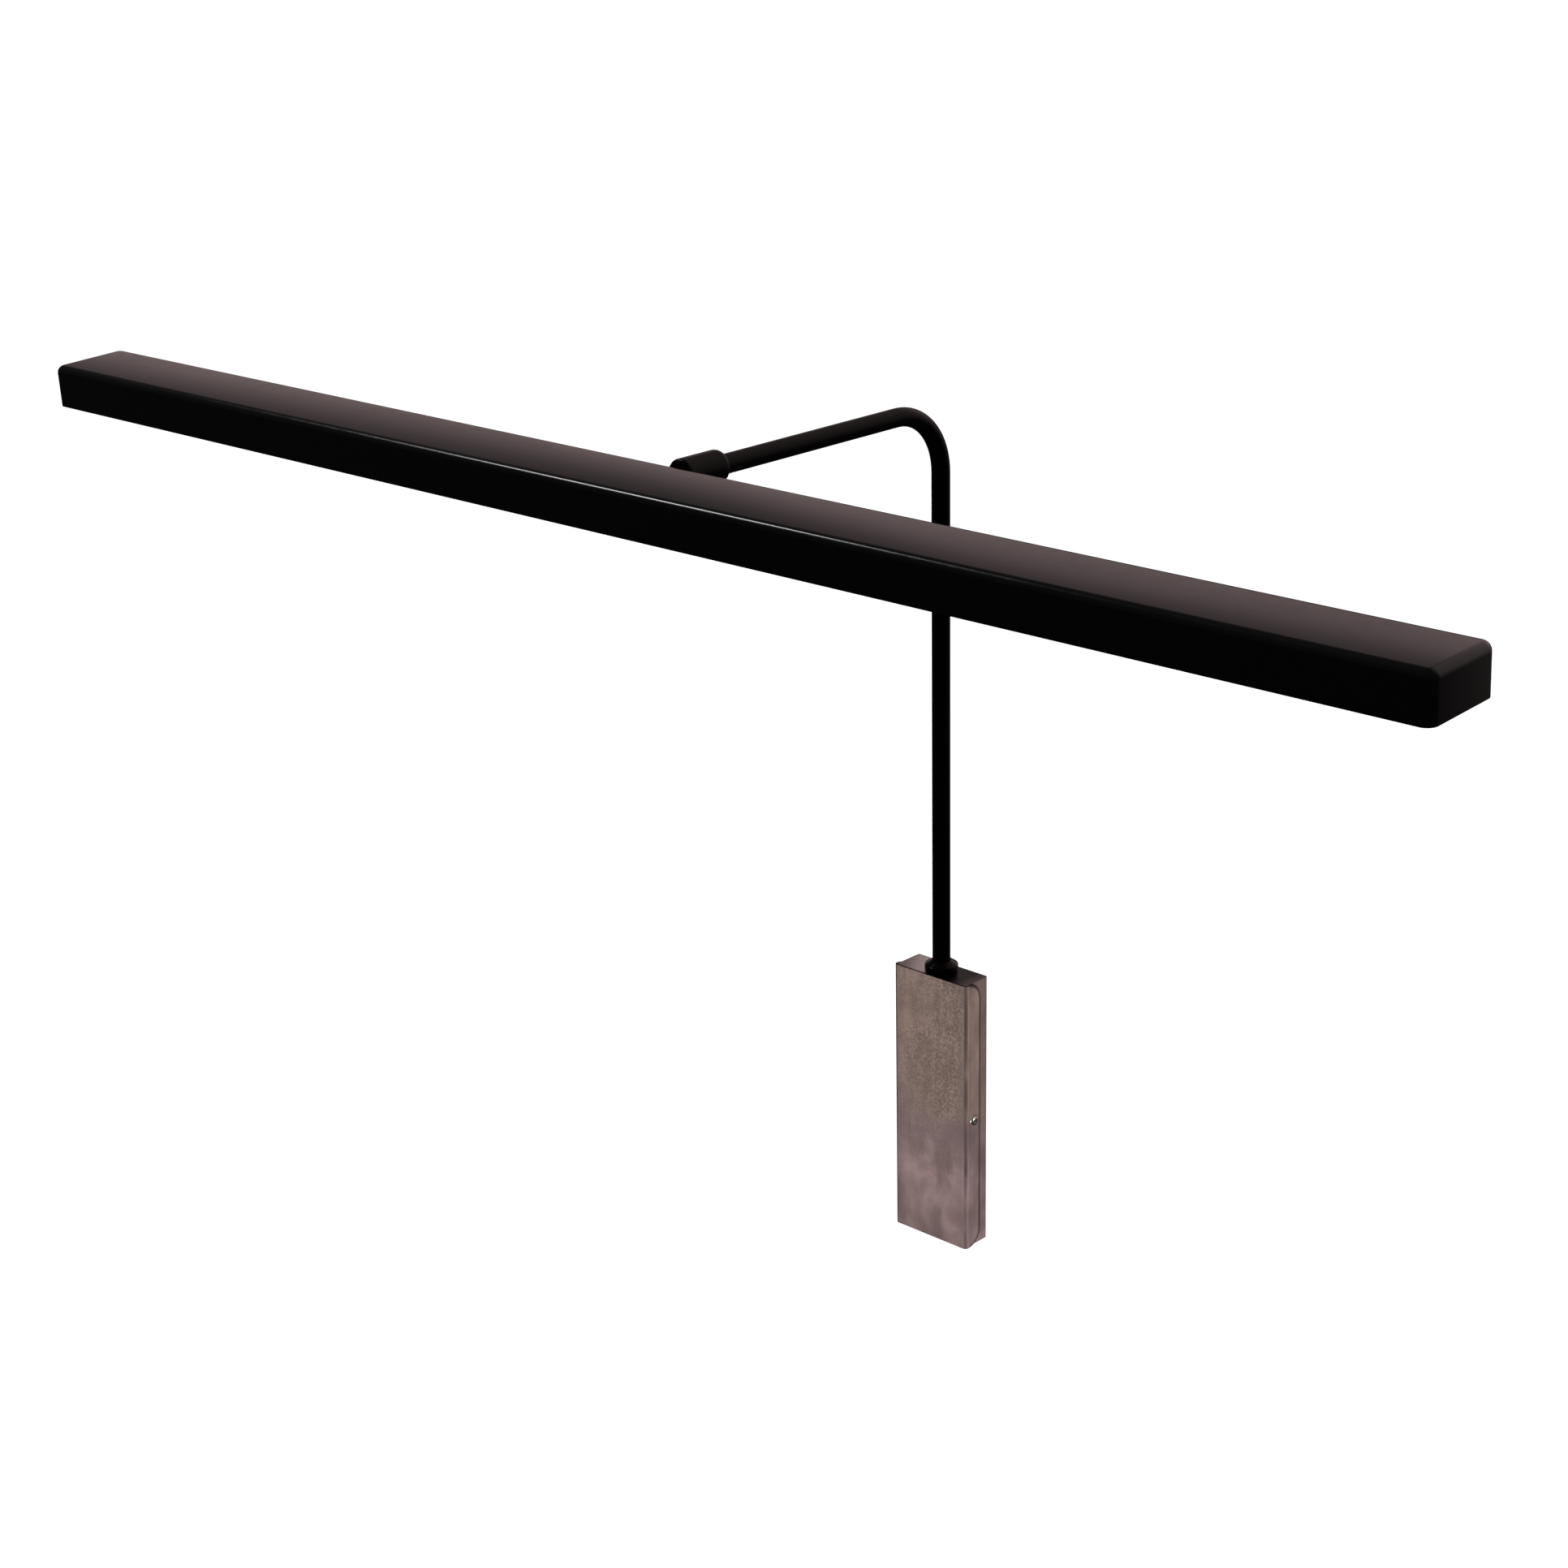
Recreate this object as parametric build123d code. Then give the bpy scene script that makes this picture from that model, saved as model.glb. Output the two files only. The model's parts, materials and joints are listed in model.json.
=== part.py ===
from build123d import *
import math
import os

os.makedirs("parts", exist_ok=True)

# Picture light: a long pressed shade on a bent tube arm, which stands in a turned
# collar on top of a flat sheet-steel wiring box.  Millimetres, +Z up.
# Origin: centre of the wiring box's back face, which is the wall plane y = 0.
# -Y points away from the wall, +X runs along the shade to the right.

# ---------------------------------------------------------------- shared dimensions
SIDES = (-1, 1)       # left, right
LEADS = ((-1, "black"), (1, "red"))
LEAD_X = 1.05         # each lead's distance from the arm's axis
LEAD_R = 0.85
GAP = 0.02            # clearance between pieces that seat on each other

# wiring box
BOX_W = 51.4          # outside width of the rear tray
BOX_H = 166.0
BOX_D = 20.7          # outside depth with the cover on
BOX_TOP = BOX_H / 2
SHEET = 1.2           # sheet thickness of tray and cover
BACK_IN = -SHEET      # inner face of the box's back

# arm
TUBE_R = 5.15
TUBE_BORE_R = 3.95
ARM_Y = -BOX_D / 2    # axis of the upright run
ARM_RISE = 328.4      # box top to the axis of the horizontal run
ARM_Z = BOX_TOP + ARM_RISE
BEND_R = 36.4
TUBE_FOOT = BOX_TOP - 11.6

# knuckle, in its own frame: pivot at 0, 0, 0
PIVOT_Y = ARM_Y - 191.0
BARREL_R = 8.6
BARREL_BORE_R = 6.55
BARREL_REAR = 21.8
BARREL_MOUTH = -7.85
TUBE_TIP = 9.8
SOCKET_L = 5.5        # length of the barrel's own seat on the tube
SET_Y = BARREL_REAR - 8.6
SET_HOLE_R = 1.55
PIN_R = 2.0

# shade, in the head's frame: pivot at 0, 0, 0, before tilting
REST_TILT = 2.8       # degrees, opening turned towards the wall
SHADE_L = 914.4
SHADE_D = 47.6
SHADE_H = 23.6
SHADE_T = 1.0
SHADE_TOP = 6.9
SHADE_BACK = -11.0
SHADE_FRONT = SHADE_BACK - SHADE_D
SHADE_BOTTOM = SHADE_TOP - SHADE_H
SHADE_R_TOP = 4.2
SHADE_R_CORNER = 5.4


# ------------------------------------------------------------------- helpers
def block(x0, x1, y0, y1, z0, z1):
    """Box between two corners."""
    centre = Pos((x0 + x1) / 2, (y0 + y1) / 2, (z0 + z1) / 2)
    return centre * Box(abs(x1 - x0), abs(y1 - y0), abs(z1 - z0))


def rod_x(radius, x0, x1, y=0.0, z=0.0):
    return Pos((x0 + x1) / 2, y, z) * Rot(0, 90, 0) * Cylinder(radius, abs(x1 - x0))


def rod_y(radius, y0, y1, x=0.0, z=0.0):
    return Pos(x, (y0 + y1) / 2, z) * Rot(90, 0, 0) * Cylinder(radius, abs(y1 - y0))


def rod_z(radius, z0, z1, x=0.0, y=0.0):
    return Pos(x, y, (z0 + z1) / 2) * Cylinder(radius, abs(z1 - z0))


def fillet_end(shape, along, axis, end, radius):
    """Rounds the edges parallel to `along` that lie at one end (0 or -1) of `axis`."""
    return fillet(shape.edges().filter_by(along).group_by(axis)[end], radius)


def hexagon(across_flats, height):
    return extrude(RegularPolygon(across_flats / math.sqrt(3), 6), height)


def cross_recess(depth, size, width):
    """Cross-shaped cutter from z = 0 down."""
    centre = Pos(0, 0, -depth / 2)
    return centre * Box(size, width, depth) + centre * Box(width, size, depth)


def pan_screw(shank_r, length, head_r, head_h, recess):
    """Pan-head screw along Z: seat at z = 0, head above and shank below."""
    top = rod_z(head_r, 0, head_h)
    top = fillet(top.edges().group_by(Axis.Z)[-1], head_h * 0.62)
    body = top + rod_z(shank_r, -length, 0.0)
    body = chamfer(body.edges().group_by(Axis.Z)[0], shank_r * 0.3)
    cutter = cross_recess(head_h * 0.62, recess, head_r * 0.24)
    return body - Pos(0, 0, head_h + 0.01) * cutter


def grub_screw(radius, length):
    """Hex-socket grub screw along Z from 0 down to -length, socket at the top."""
    body = rod_z(radius, -length, 0)
    body = chamfer(body.edges().group_by(Axis.Z)[0], radius * 0.35)
    return body - Pos(0, 0, -radius * 0.9) * hexagon(radius * 1.05, radius * 1.2)


def wire(points, radius, bend):
    """Round wire through points, with rounded corners."""
    line = FilletPolyline(*points, radius=bend)
    return sweep(Plane(origin=line @ 0, z_dir=line % 0) * Circle(radius), path=line)


def save(name, *shapes):
    """Writes one STEP file with all the solids of the shapes."""
    solids = [solid for shape in shapes for solid in shape.solids()]
    out = solids[0] if len(solids) == 1 else Compound(children=solids)
    export_step(out, f"parts/{name}.step")


def save_collar(name, shape):
    """Saves a shape drawn with the arm's axis as Z and the box top as z = 0."""
    save(name, Pos(0, ARM_Y, BOX_TOP) * shape)


def save_knuckle(name, *shapes):
    """Saves shapes drawn about the pivot."""
    save(name, *[Pos(0, PIVOT_Y, ARM_Z) * shape for shape in shapes])


def save_head(name, *shapes):
    """Saves shapes drawn about the pivot, turned to the rest tilt."""
    save_knuckle(name, *[Rot(REST_TILT, 0, 0) * shape for shape in shapes])


# --------------------------------------------------------------- wiring box
COVER_GAP = 0.1       # fit of the cover over the tray
COVER_W = BOX_W + 2 * (SHEET + COVER_GAP)
COVER_FLANGE = 12.7   # depth of the side flanges, from the front face
COVER_CORNER = 10.0   # rounded rear corners of the side flanges
COVER_BEND = 2.4      # outside bend radius
COVER_SCREW = (-BOX_D + 6.3, -2.0)   # y, z
WALL_HOLE_R = 2.4
WALL_HOLE_PITCH = 120.0
CABLE_Z = -44.0       # cable entry in the back
CABLE_R = 4.0
CABLE_HOLE_R = 6.35
half_w, half_h = BOX_W / 2, BOX_H / 2
cover_half = COVER_W / 2

# rear tray
tray_front = -BOX_D + SHEET + COVER_GAP
box = block(-half_w, half_w, tray_front, 0, -half_h, half_h)
box = fillet_end(box, Axis.Z, Axis.Y, -1, 1.4)
box = fillet_end(box, Axis.Z, Axis.Y, 0, 1.3)   # clears the cover's bends
box -= block(-half_w + SHEET, half_w - SHEET, tray_front - 1, BACK_IN,
             -half_h + SHEET, half_h - SHEET)
box -= rod_z(6.75, half_h - 3, half_h + 1, 0, ARM_Y)   # collar spigot hole
for side in SIDES:
    box -= rod_y(WALL_HOLE_R, -3, 1, 0, side * WALL_HOLE_PITCH / 2)
box -= rod_y(CABLE_HOLE_R, -3, 1, 0, CABLE_Z)
for side in SIDES:
    box -= rod_x(1.9, side * (half_w + 1), side * (half_w - 3), *COVER_SCREW)
save("back_box", box)

# cover: a folded channel, open at top and bottom
flange_rear = -BOX_D + COVER_FLANGE
cover = block(-cover_half, cover_half, -BOX_D, flange_rear, -half_h, half_h)
cover = fillet_end(cover, Axis.Z, Axis.Y, 0, COVER_BEND)
void = block(-cover_half + SHEET, cover_half - SHEET, -BOX_D + SHEET, flange_rear + 1,
             -half_h - 1, half_h + 1)
cover -= fillet_end(void, Axis.Z, Axis.Y, 0, COVER_BEND - SHEET)
keep = extrude(
    Plane.YZ * Pos((-BOX_D + flange_rear) / 2 - 10, 0) * Rectangle(COVER_FLANGE + 20, BOX_H),
    COVER_W, both=True)
cover = cover & fillet_end(keep, Axis.X, Axis.Y, -1, COVER_CORNER)
for side in SIDES:
    cover -= rod_x(1.7, side * (cover_half + 1), side * (cover_half - 3), *COVER_SCREW)
save("box_cover", cover)


def cover_screw(side):
    place = Pos(side * (cover_half + GAP), *COVER_SCREW) * Rot(0, side * 90, 0) * Rot(0, 0, 35)
    return place * pan_screw(1.45, 6.0, 2.8, 1.9, 3.3)


def clinch_nut(side):
    """Nut behind the tray's side wall, with a spigot in the wall's hole."""
    wall = half_w - SHEET
    nut = rod_x(3.0, side * (wall - GAP), side * (wall - 2.2), *COVER_SCREW)
    nut += rod_x(1.87, side * (half_w - 0.1), side * (wall - 1.0), *COVER_SCREW)
    return nut - rod_x(1.5, side * (half_w + 1), side * (half_w - 6), *COVER_SCREW)


save("cover_screws", *[cover_screw(side) for side in SIDES])
save("clinch_nuts", *[clinch_nut(side) for side in SIDES])

# cable bushing: a sleeve in the hole and a flange inside the box
bushing = rod_y(CABLE_HOLE_R - 0.05, BACK_IN - GAP, -0.1, 0, CABLE_Z)
bushing += rod_y(8.2, BACK_IN - 1.62, BACK_IN - GAP, 0, CABLE_Z)
save("cable_bushing", bushing - rod_y(CABLE_R, -6, 1, 0, CABLE_Z))

# -------------------------------------------------------------------- collar
HUB_R = 9.6
HUB_H = 3.35
SPIGOT_R = 6.7
CAP_TOP = 6.8
CAP_BORE_R = 5.3
CAP_POCKET_R = 7.04
CAP_SKIRT_R = HUB_R - 0.5
RIM_R = 8.2           # rim that the cap fits onto
RIM_TOP = 4.1
CAP_THREAD_R = RIM_R + 0.04
STOP_RING_R = 7.0
STOP_Y = 6.2          # stop pin, on the wall side of the arm's axis
STOP_PIN_R = 0.5
STOP_SWING = 20.0     # degrees each way
LOCK_WASHER_T = 0.8
LOCKNUT_H = 3.4

# hub outline: radius, z
HUB_OUTLINE = [
    (0, -8.4), (6.55, -8.4), (SPIGOT_R, -8.1), (SPIGOT_R, GAP), (HUB_R - 0.3, GAP),
    (HUB_R, 0.35), (HUB_R, 2.95), (HUB_R - 0.15, 3.22), (HUB_R - 0.6, HUB_H),
    (RIM_R, HUB_H), (RIM_R, RIM_TOP), (0, RIM_TOP),
]
hub_line = Polyline([(radius, 0, z) for radius, z in HUB_OUTLINE], close=True)
hub = revolve(make_face(hub_line), Axis.Z, 360)
hub -= rod_z(5.22, -20, 20)
hub -= rod_z(7.1, 1.6, 20)                    # pocket for the stop ring
hub -= rod_z(STOP_PIN_R + GAP, 0.5, 2, 0, STOP_Y)
save_collar("collar_hub", hub)

# cap: low rounded cone that draws in to the tube and keeps the stop ring down
cap_line = Polyline((CAP_THREAD_R, 0, 4.16), (CAP_THREAD_R, 0, 3.47), (CAP_SKIRT_R, 0, 3.47),
                    (HUB_R - 0.12, 0, 3.6), (HUB_R, 0, 3.85))
cap_line += Spline((HUB_R, 0, 3.85), (9.1, 0, 4.55), (7.8, 0, 5.36), (6.25, 0, 6.38),
                   (5.62, 0, CAP_TOP - 0.05), tangents=((0, 0, 1), (-0.8, 0, 0.6)))
cap_line += Polyline((5.62, 0, CAP_TOP - 0.05), (5.45, 0, CAP_TOP),
                     (CAP_BORE_R, 0, CAP_TOP - 0.12), (CAP_BORE_R, 0, 3.72),
                     (CAP_POCKET_R, 0, 3.72), (CAP_POCKET_R, 0, 4.16),
                     (CAP_THREAD_R, 0, 4.16))
save_collar("collar_cap", revolve(make_face(cap_line), Axis.Z, 360))

washer = rod_z(STOP_RING_R, 1.62, 2.07) - rod_z(5.3, 0, 9)
save_collar("swivel_washer", washer - rod_z(STOP_PIN_R + 0.05, 0, 9, 0, STOP_Y))
save_collar("swivel_stop_pin", rod_z(STOP_PIN_R, 0.52, 3.5, 0, STOP_Y))

# stop ring on the tube, notched for the pin's swing
half_notch = STOP_SWING + math.degrees(math.asin((STOP_PIN_R + 0.03) / STOP_Y))


def notch_arc(radius, direction):
    angles = [math.radians(direction * half_notch * (k / 8 - 1)) for k in range(17)]
    return [(radius * math.sin(angle), radius * math.cos(angle)) for angle in angles]


notch_line = Polyline(notch_arc(5.55, 1) + notch_arc(9, -1), close=True)
stop_ring = rod_z(STOP_RING_R, 2.1, 3.6) - rod_z(TUBE_R + 0.01, 0, 9)
stop_ring -= Pos(0, 0, 1) * extrude(make_face(notch_line), 5)
save_collar("tube_stop_ring", stop_ring)

# locknut and notched washer on the spigot, under the box's top
locknut = Pos(0, 0, -SHEET - LOCK_WASHER_T - LOCKNUT_H) * hexagon(16.0, LOCKNUT_H)
save_collar("collar_locknut", locknut - rod_z(SPIGOT_R + 0.08, -20, 9))
LOCK_WASHER_R = 8.1
lock_washer = rod_z(LOCK_WASHER_R, -SHEET - LOCK_WASHER_T + GAP, -SHEET - GAP)
lock_washer -= rod_z(SPIGOT_R + 0.15, -20, 9)
for k in range(12):
    angle = math.radians(30 * k + 15)
    lock_washer -= rod_z(0.7, -SHEET - 2, 0,
                         LOCK_WASHER_R * math.cos(angle), LOCK_WASHER_R * math.sin(angle))
save_collar("collar_lock_washer", lock_washer)


# ----------------------------------------------------------------------- arm
def along_arm(radius, x=0.0, foot=0.0, tip=0.0):
    """Round bar along the arm; foot and tip move its ends in z and y."""
    start = (x, ARM_Y, TUBE_FOOT + foot)
    bend_start = (x, ARM_Y, ARM_Z - BEND_R)
    bend_end = (x, ARM_Y - BEND_R, ARM_Z)
    reach = BEND_R * math.sqrt(0.5)
    bend_mid = (x, ARM_Y - BEND_R + reach, ARM_Z - BEND_R + reach)
    path = Line(start, bend_start) + ThreePointArc(bend_start, bend_mid, bend_end)
    path += Line(bend_end, (x, PIVOT_Y + TUBE_TIP + tip, ARM_Z))
    return sweep(Plane(origin=start, z_dir=(0, 0, 1)) * Circle(radius), path=path)


save("arm_tube", along_arm(TUBE_R) - along_arm(TUBE_BORE_R))

# flanged bushing in the tube's foot, so that its edge can't cut the leads
foot_bushing = rod_z(5.0, TUBE_FOOT - 1.22, TUBE_FOOT - GAP, 0, ARM_Y)
foot_bushing += rod_z(TUBE_BORE_R - 0.05, TUBE_FOOT - GAP, TUBE_FOOT + 6, 0, ARM_Y)
save("tube_end_bushing", foot_bushing - rod_z(2.9, TUBE_FOOT - 5, TUBE_FOOT + 9, 0, ARM_Y))

for side, colour in LEADS:
    save(f"arm_lead_{colour}", along_arm(LEAD_R, side * LEAD_X, foot=-2.2, tip=-2.0))

# ------------------------------------------------------------------- knuckle
# barrel: its rear end is a round shoulder that runs in to the tube
SLOT_HALF = 3.2       # half width of the slots for the tongue
neck_r = TUBE_R + 0.25
shoulder = (BARREL_R, BARREL_REAR - 4.6)
barrel_line = Polyline((0, BARREL_REAR), (0, BARREL_MOUTH), (BARREL_R, BARREL_MOUTH), shoulder)
barrel_line += TangentArc(shoulder, (neck_r, BARREL_REAR), tangent=(0, 1))
barrel_line += Line((neck_r, BARREL_REAR), (0, BARREL_REAR))
barrel = revolve(make_face(barrel_line), Axis.Y, 360)
barrel = fillet(barrel.edges().group_by(Axis.Y)[0], 1.8)
barrel -= rod_y(TUBE_R + 0.05, BARREL_MOUTH - 1, BARREL_REAR + 1)
barrel -= rod_y(BARREL_BORE_R, BARREL_MOUTH - 1, BARREL_REAR - SOCKET_L)
barrel -= block(-SLOT_HALF, SLOT_HALF, BARREL_MOUTH - 1, 3.4, -12, 0)   # slot underneath
barrel -= rod_z(SET_HOLE_R, -12, -4, 0, SET_Y)
save_knuckle("knuckle_barrel", barrel)

# fork inside the barrel
fork_front = BARREL_MOUTH + 3.0
fork_rear = BARREL_REAR - SOCKET_L - 0.05
fork = rod_y(BARREL_BORE_R - 0.03, fork_front, fork_rear)
fork = chamfer(fork.edges().group_by(Axis.Y)[0], 0.5)
fork -= rod_y(TUBE_R + 0.03, TUBE_TIP - 0.1, fork_rear + 1)
fork -= rod_y(3.0, fork_front - 1, fork_rear + 1)
fork -= block(-SLOT_HALF, SLOT_HALF, fork_front - 1, 7.2, -12, 12)
fork -= rod_x(PIN_R + 0.05, -12, 12)
fork -= rod_x(3.4, 4.6, 12)                       # recess for the screw's head
fork -= rod_x(3.4, -12, -4.4)                     # recess for its nut
fork -= rod_z(SET_HOLE_R, -12, -4, 0, SET_Y)      # lets the set screw reach the tube
save_knuckle("swivel_fork", fork)

# pivot screw through fork and tongue, with nut and washers; the barrel hides both ends
PIVOT_HEAD_R = 3.2
screw_head = rod_z(PIVOT_HEAD_R, 0, 1.0)
screw_head = fillet(screw_head.edges().group_by(Axis.Z)[-1], 0.4)
screw_head = Pos(4.62, 0, 0) * Rot(0, 90, 0) * screw_head
screw_head -= Pos(5.45, 0, 0) * Rot(25, 0, 0) * Box(0.9, 9, 0.9)
save_knuckle("pivot_screw", rod_x(PIN_R, -5.5, 4.7) + screw_head)

pivot_nut = rod_x(PIVOT_HEAD_R, -5.6, -4.42)
pivot_nut = fillet(pivot_nut.edges().group_by(Axis.X)[0], 0.4) - rod_x(PIN_R + 0.03, -9, 0)
for side in SIDES:
    pivot_nut -= block(-9, -4.9, side * 2.75, side * 4, -5, 5)   # two flats for the key
save_knuckle("pivot_nut", pivot_nut)

save_knuckle("friction_washers", *[
    rod_x(4.3, side * 2.83, side * 3.17) - rod_x(PIN_R + 0.05, side * 2, side * 4)
    for side in SIDES])

set_length = BARREL_R - 0.3 - TUBE_R - 0.03
save_knuckle("barrel_set_screw",
             Pos(0, SET_Y, -BARREL_R + 0.3) * Rot(180, 0, 0) * grub_screw(1.5, set_length))

# ---------------------------------------------------------------- head: shade
TONGUE_HALF = 2.8     # half the tongue's thickness
TONGUE_SCREW_X = 13.0
TONGUE_SCREW_Z = -4.4
shade_in = SHADE_BACK - SHADE_T   # inner face of the shade's back

# tongue: round eye and neck, with a foot plate inside the shade's back
tongue = rod_x(4.4, -TONGUE_HALF, TONGUE_HALF)
tongue += block(-TONGUE_HALF, TONGUE_HALF, SHADE_BACK - 1.5, 0, -3.4, 2.8)
foot_plate = block(-17, 17, shade_in - 2.02, shade_in - GAP, -11.0, 2.8)
tongue += fillet(foot_plate.edges().filter_by(Axis.Y), 1.5)
tongue -= rod_x(PIN_R + 0.05, -4, 4)
tongue -= block(-1.95, 1.95, SHADE_BACK - 5, -5.6, 1.0, 4)   # channel for the leads
for side in SIDES:
    tongue -= rod_y(1.28, SHADE_BACK - 6, SHADE_BACK + 2, side * TONGUE_SCREW_X, TONGUE_SCREW_Z)
save_head("swivel_tongue", tongue)


def shade_body(inset, bottom):
    """Rounded block of the shade, drawn in by inset on its sides and top."""
    half = SHADE_L / 2 - inset
    body = block(-half, half, SHADE_FRONT + inset, SHADE_BACK - inset, bottom, SHADE_TOP - inset)
    body = fillet(body.edges().filter_by(Axis.Z), SHADE_R_CORNER - inset)
    return fillet(body.faces().sort_by(Axis.Z)[-1].edges(), SHADE_R_TOP - inset)


shade = shade_body(0, SHADE_BOTTOM) - shade_body(SHADE_T, SHADE_BOTTOM - 2)
shade -= block(-3.0, 3.0, SHADE_BACK - 3, SHADE_BACK + 1, -3.6, 3.0)   # tongue window
for side in SIDES:
    shade -= rod_y(1.6, SHADE_BACK - 3, SHADE_BACK + 1, side * TONGUE_SCREW_X, TONGUE_SCREW_Z)
save_head("shade", shade)

save_head("tongue_screws", *[
    Pos(side * TONGUE_SCREW_X, SHADE_BACK + GAP, TONGUE_SCREW_Z) * Rot(-90, 0, 0)
    * pan_screw(1.25, 4.0, 2.6, 1.5, 3.0)
    for side in SIDES])

# -------------------------------------------------------- head: light engine
PLATE_TOP = 2.4       # top of the reflector tray
TRAY_T = 0.8
PLATE_UNDER = PLATE_TOP - TRAY_T
TRAY_HALF_L = 451.0
TRAY_BACK, TRAY_FRONT = -15.6, -56.6
TRAY_MID = (TRAY_BACK + TRAY_FRONT) / 2
TRAY_BOTTOM = SHADE_BOTTOM + 1.0
LEDGE_TOP = TRAY_BOTTOM + TRAY_T
STUD_XS = (-400.0, -140.0, 140.0, 400.0)
STUD_Y = -32.6
END_SCREW_X = TRAY_HALF_L - 4.5
BOARD_Y = -43.4       # centre line of the light boards
BOARD_MID_HOLE = 224.5
BOARD_HOLES = (12.0, BOARD_MID_HOLE, 437.0)   # distances from the shade's middle
FEED_X, FEED_Y = 6.0, -25.8   # leads' hole through the tray

# weld studs under the shade's top carry the reflector tray
stud_top = SHADE_TOP - SHADE_T - 0.01
save_head("tray_studs", *[
    rod_z(1.5, -1.6, stud_top, x, STUD_Y) + rod_z(2.6, PLATE_TOP + GAP, stud_top, x, STUD_Y)
    for x in STUD_XS])
save_head("tray_nuts", *[
    Pos(x, STUD_Y, PLATE_UNDER - GAP - 1.8) * hexagon(5.5, 1.8) - rod_z(1.53, -5, 5, x, STUD_Y)
    for x in STUD_XS])


def half_profile(side, edge):
    """Tray section from its middle out to one edge and back: y, z."""
    return [
        (TRAY_MID + side * 15.0, PLATE_TOP), (TRAY_MID + side * 15.5, PLATE_TOP - 0.3),
        (edge - side * 0.15, -8.6), (edge, -9.0), (edge, TRAY_BOTTOM),
        (edge - side * 2.6, TRAY_BOTTOM), (edge - side * 2.6, LEDGE_TOP),
        (edge - side * TRAY_T, LEDGE_TOP), (edge - side * TRAY_T, -9.2),
        (TRAY_MID + side * 14.8, PLATE_UNDER - 0.3), (TRAY_MID + side * 14.5, PLATE_UNDER),
    ]


# reflector tray: flat top, sloping wings, upright lips and a ledge under the lens
profile = half_profile(1, TRAY_BACK) + half_profile(-1, TRAY_FRONT)[::-1]
reflector = extrude(Plane.YZ * make_face(Polyline(profile, close=True)), TRAY_HALF_L, both=True)
for x in STUD_XS:
    reflector -= rod_z(1.6, -5, 5, x, STUD_Y)
for side in SIDES:
    for x in BOARD_HOLES:
        reflector -= rod_z(1.22, -5, 5, side * x, BOARD_Y)
    reflector -= rod_z(1.22, -5, 5, side * END_SCREW_X, TRAY_MID)
reflector -= rod_z(2.3, -5, 5, FEED_X, FEED_Y)
save_head("reflector_tray", reflector)

# two light boards with a thermal pad each, and their emitters
PAD_TOP = PLATE_UNDER - GAP
PAD_T = 0.4
BOARD_T = 1.4
BOARD_TOP = PAD_TOP - PAD_T - 0.01
EMITTER_TOP = BOARD_TOP - BOARD_T - 0.01
EMITTER_PITCH = 12.3


def board_layer(side, half_width, bottom, top, hole_r):
    """Strip as long as one board, with the board's screw holes."""
    layer = block(side * 3.0, side * 446.0, BOARD_Y - half_width, BOARD_Y + half_width,
                  bottom, top)
    for x in BOARD_HOLES:
        layer -= rod_z(hole_r, -5, 5, side * x, BOARD_Y)
    return layer


emitters = []
for side, name in ((-1, "left"), (1, "right")):
    save_head(f"led_board_{name}", board_layer(side, 6.0, BOARD_TOP - BOARD_T, BOARD_TOP, 1.5))
    for k in range(34):
        x = side * (24.0 + k * EMITTER_PITCH)
        if abs(abs(x) - BOARD_MID_HOLE) < 4.5:   # leaves room for the middle screw
            continue
        emitters.append(block(x - 1.75, x + 1.75, BOARD_Y - 1.4, BOARD_Y + 1.4,
                              EMITTER_TOP - 0.8, EMITTER_TOP))
save_head("thermal_pads",
          *[board_layer(side, 5.5, PAD_TOP - PAD_T, PAD_TOP, 1.6) for side in SIDES])
save_head("led_emitters", *emitters)
save_head("board_screws", *[
    Pos(x, BOARD_Y, EMITTER_TOP) * Rot(180, 0, 0) * pan_screw(1.2, 3.3, 2.4, 1.3, 2.6)
    for x in sorted(side * hole for side in SIDES for hole in BOARD_HOLES)])

# lens on the tray's ledges
lens_half = TRAY_HALF_L - 1.2
lens_inset = TRAY_T + 0.15
save_head("diffuser_lens",
          block(-lens_half, lens_half, TRAY_FRONT + lens_inset, TRAY_BACK - lens_inset,
                LEDGE_TOP + GAP, LEDGE_TOP + 2.02))


def end_plate(side):
    """Plate that closes the tray's end, with a tab over its top."""
    inner, outer = side * (TRAY_HALF_L + 0.05), side * (TRAY_HALF_L + 1.25)
    tab_y = (TRAY_MID - 6.5, TRAY_MID + 6.5)
    tab_top = PLATE_TOP + 1.0
    plate = block(inner, outer, TRAY_FRONT, TRAY_BACK, TRAY_BOTTOM, PLATE_TOP)
    plate = fillet(plate.edges().filter_by(Axis.X), 1.5)
    plate += (block(inner, side * (TRAY_HALF_L - 9.0), *tab_y, PLATE_TOP + GAP, tab_top)
              + block(inner, outer, *tab_y, PLATE_TOP - 2, tab_top))
    return plate - rod_z(1.4, -5, 5, side * END_SCREW_X, TRAY_MID)


save_head("tray_end_plates", *[end_plate(side) for side in SIDES])
save_head("end_plate_screws", *[
    Pos(side * END_SCREW_X, TRAY_MID, PLATE_TOP + 1.02) * pan_screw(1.2, 3.4, 2.3, 1.3, 2.6)
    for side in SIDES])

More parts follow.
